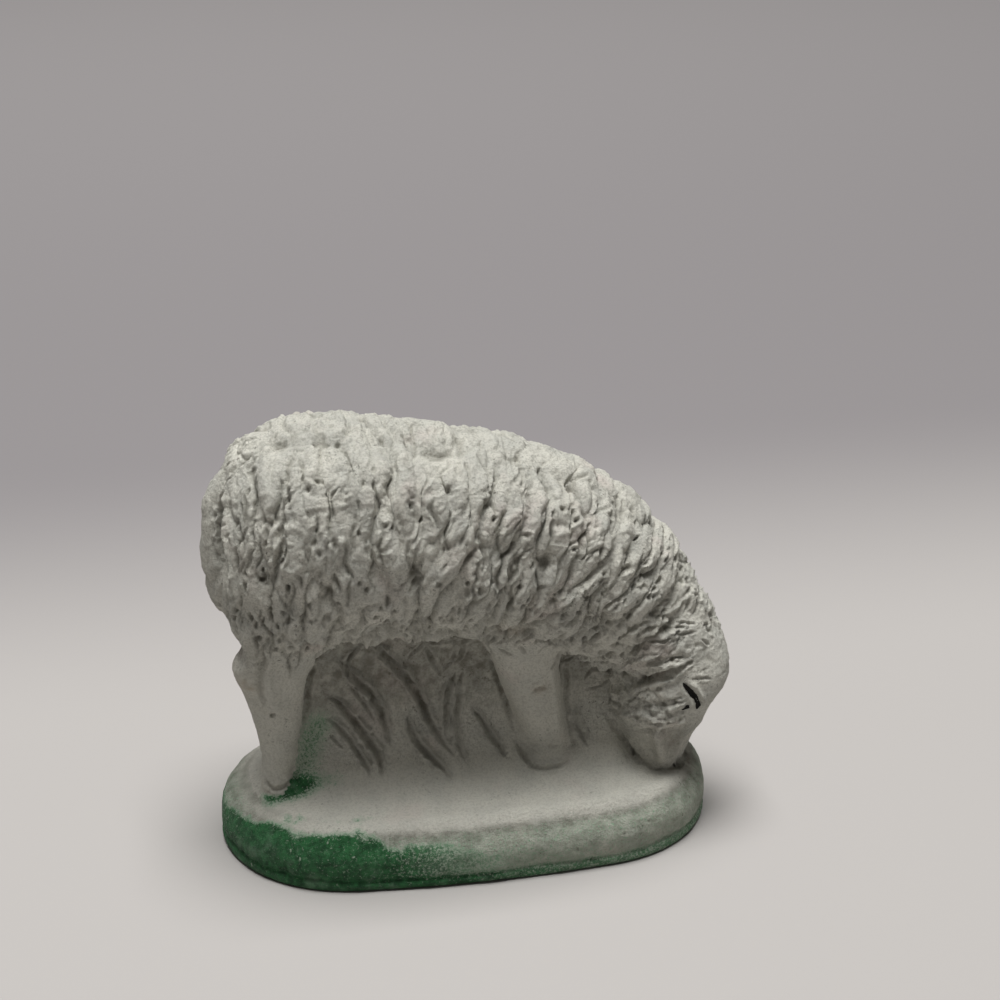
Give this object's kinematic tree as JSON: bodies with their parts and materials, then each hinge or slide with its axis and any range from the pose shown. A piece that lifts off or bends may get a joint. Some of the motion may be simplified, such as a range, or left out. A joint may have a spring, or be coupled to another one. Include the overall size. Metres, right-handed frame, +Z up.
{
  "type": "grazing sheep figurine",
  "caption": "Grazing sheep figurine of painted plaster: woolly body with its head down, legs joined by a grass bank, on an oval plinth. An ornament that stands on its flat base.",
  "frame": {"origin": "middle of the plinth's flat underside", "axes": "+X towards the head, +Y to the sheep's left, +Z up"},
  "size_m": [0.0996, 0.0528, 0.0851],
  "materials": {
    "plaster": "matt, chalky, worn off-white wash with dirt in the hollows",
    "plinth": "matt off-white plaster with worn green paint round the side",
    "eye_paint": "black paint in a cut slit"
  },
  "bodies": {
    "root": {"plinth": "plinth", "grass_bank": "plaster", "trunk": "plaster", "neck": "plaster", "head": "plaster", "muzzle": "plaster", "right_ear": "plaster", "left_ear": "plaster", "right_eye": "eye_paint", "left_eye": "eye_paint", "tail": "plaster", "right_hind_leg": "plaster", "left_hind_leg": "plaster", "right_fore_leg": "plaster", "left_fore_leg": "plaster", "right_fore_hoof": "plaster", "left_fore_hoof": "plaster"}
  },
  "joints": []
}
